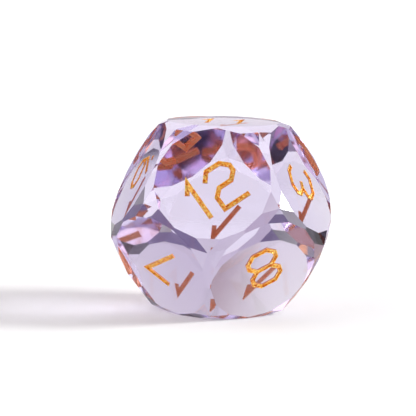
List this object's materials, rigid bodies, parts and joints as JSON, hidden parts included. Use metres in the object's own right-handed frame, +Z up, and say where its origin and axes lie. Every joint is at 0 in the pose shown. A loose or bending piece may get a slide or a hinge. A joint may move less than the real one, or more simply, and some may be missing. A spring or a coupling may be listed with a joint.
{
  "type": "dodecahedral die",
  "caption": "Dodecahedral gaming die of clear lilac glass with ground corner facets and gold-filled engraved numerals, resting on a face.",
  "frame": {"origin": "centre of the resting face, the one numbered 2", "axes": "+Z up out of the face numbered 11, -Y toward the side where the face numbered 12 looks out and up, +X to the right of a viewer who looks along +Y"},
  "size_m": [0.0234, 0.0234, 0.02],
  "materials": {
    "glass": "clear optical glass with a pale lilac tint, ground flat and polished",
    "gold_paint": "gold enamel paint, rough and speckled"
  },
  "bodies": {
    "root": {"glass_body": "glass", "paint_1": "gold_paint", "paint_2": "gold_paint", "paint_3": "gold_paint", "paint_4": "gold_paint", "paint_5": "gold_paint", "paint_6": "gold_paint", "paint_6_dot": "gold_paint", "paint_7": "gold_paint", "paint_8": "gold_paint", "paint_9": "gold_paint", "paint_9_dot": "gold_paint", "paint_10_one": "gold_paint", "paint_10_zero": "gold_paint", "paint_11_left": "gold_paint", "paint_11_right": "gold_paint", "paint_12_one": "gold_paint", "paint_12_two": "gold_paint"}
  },
  "joints": []
}
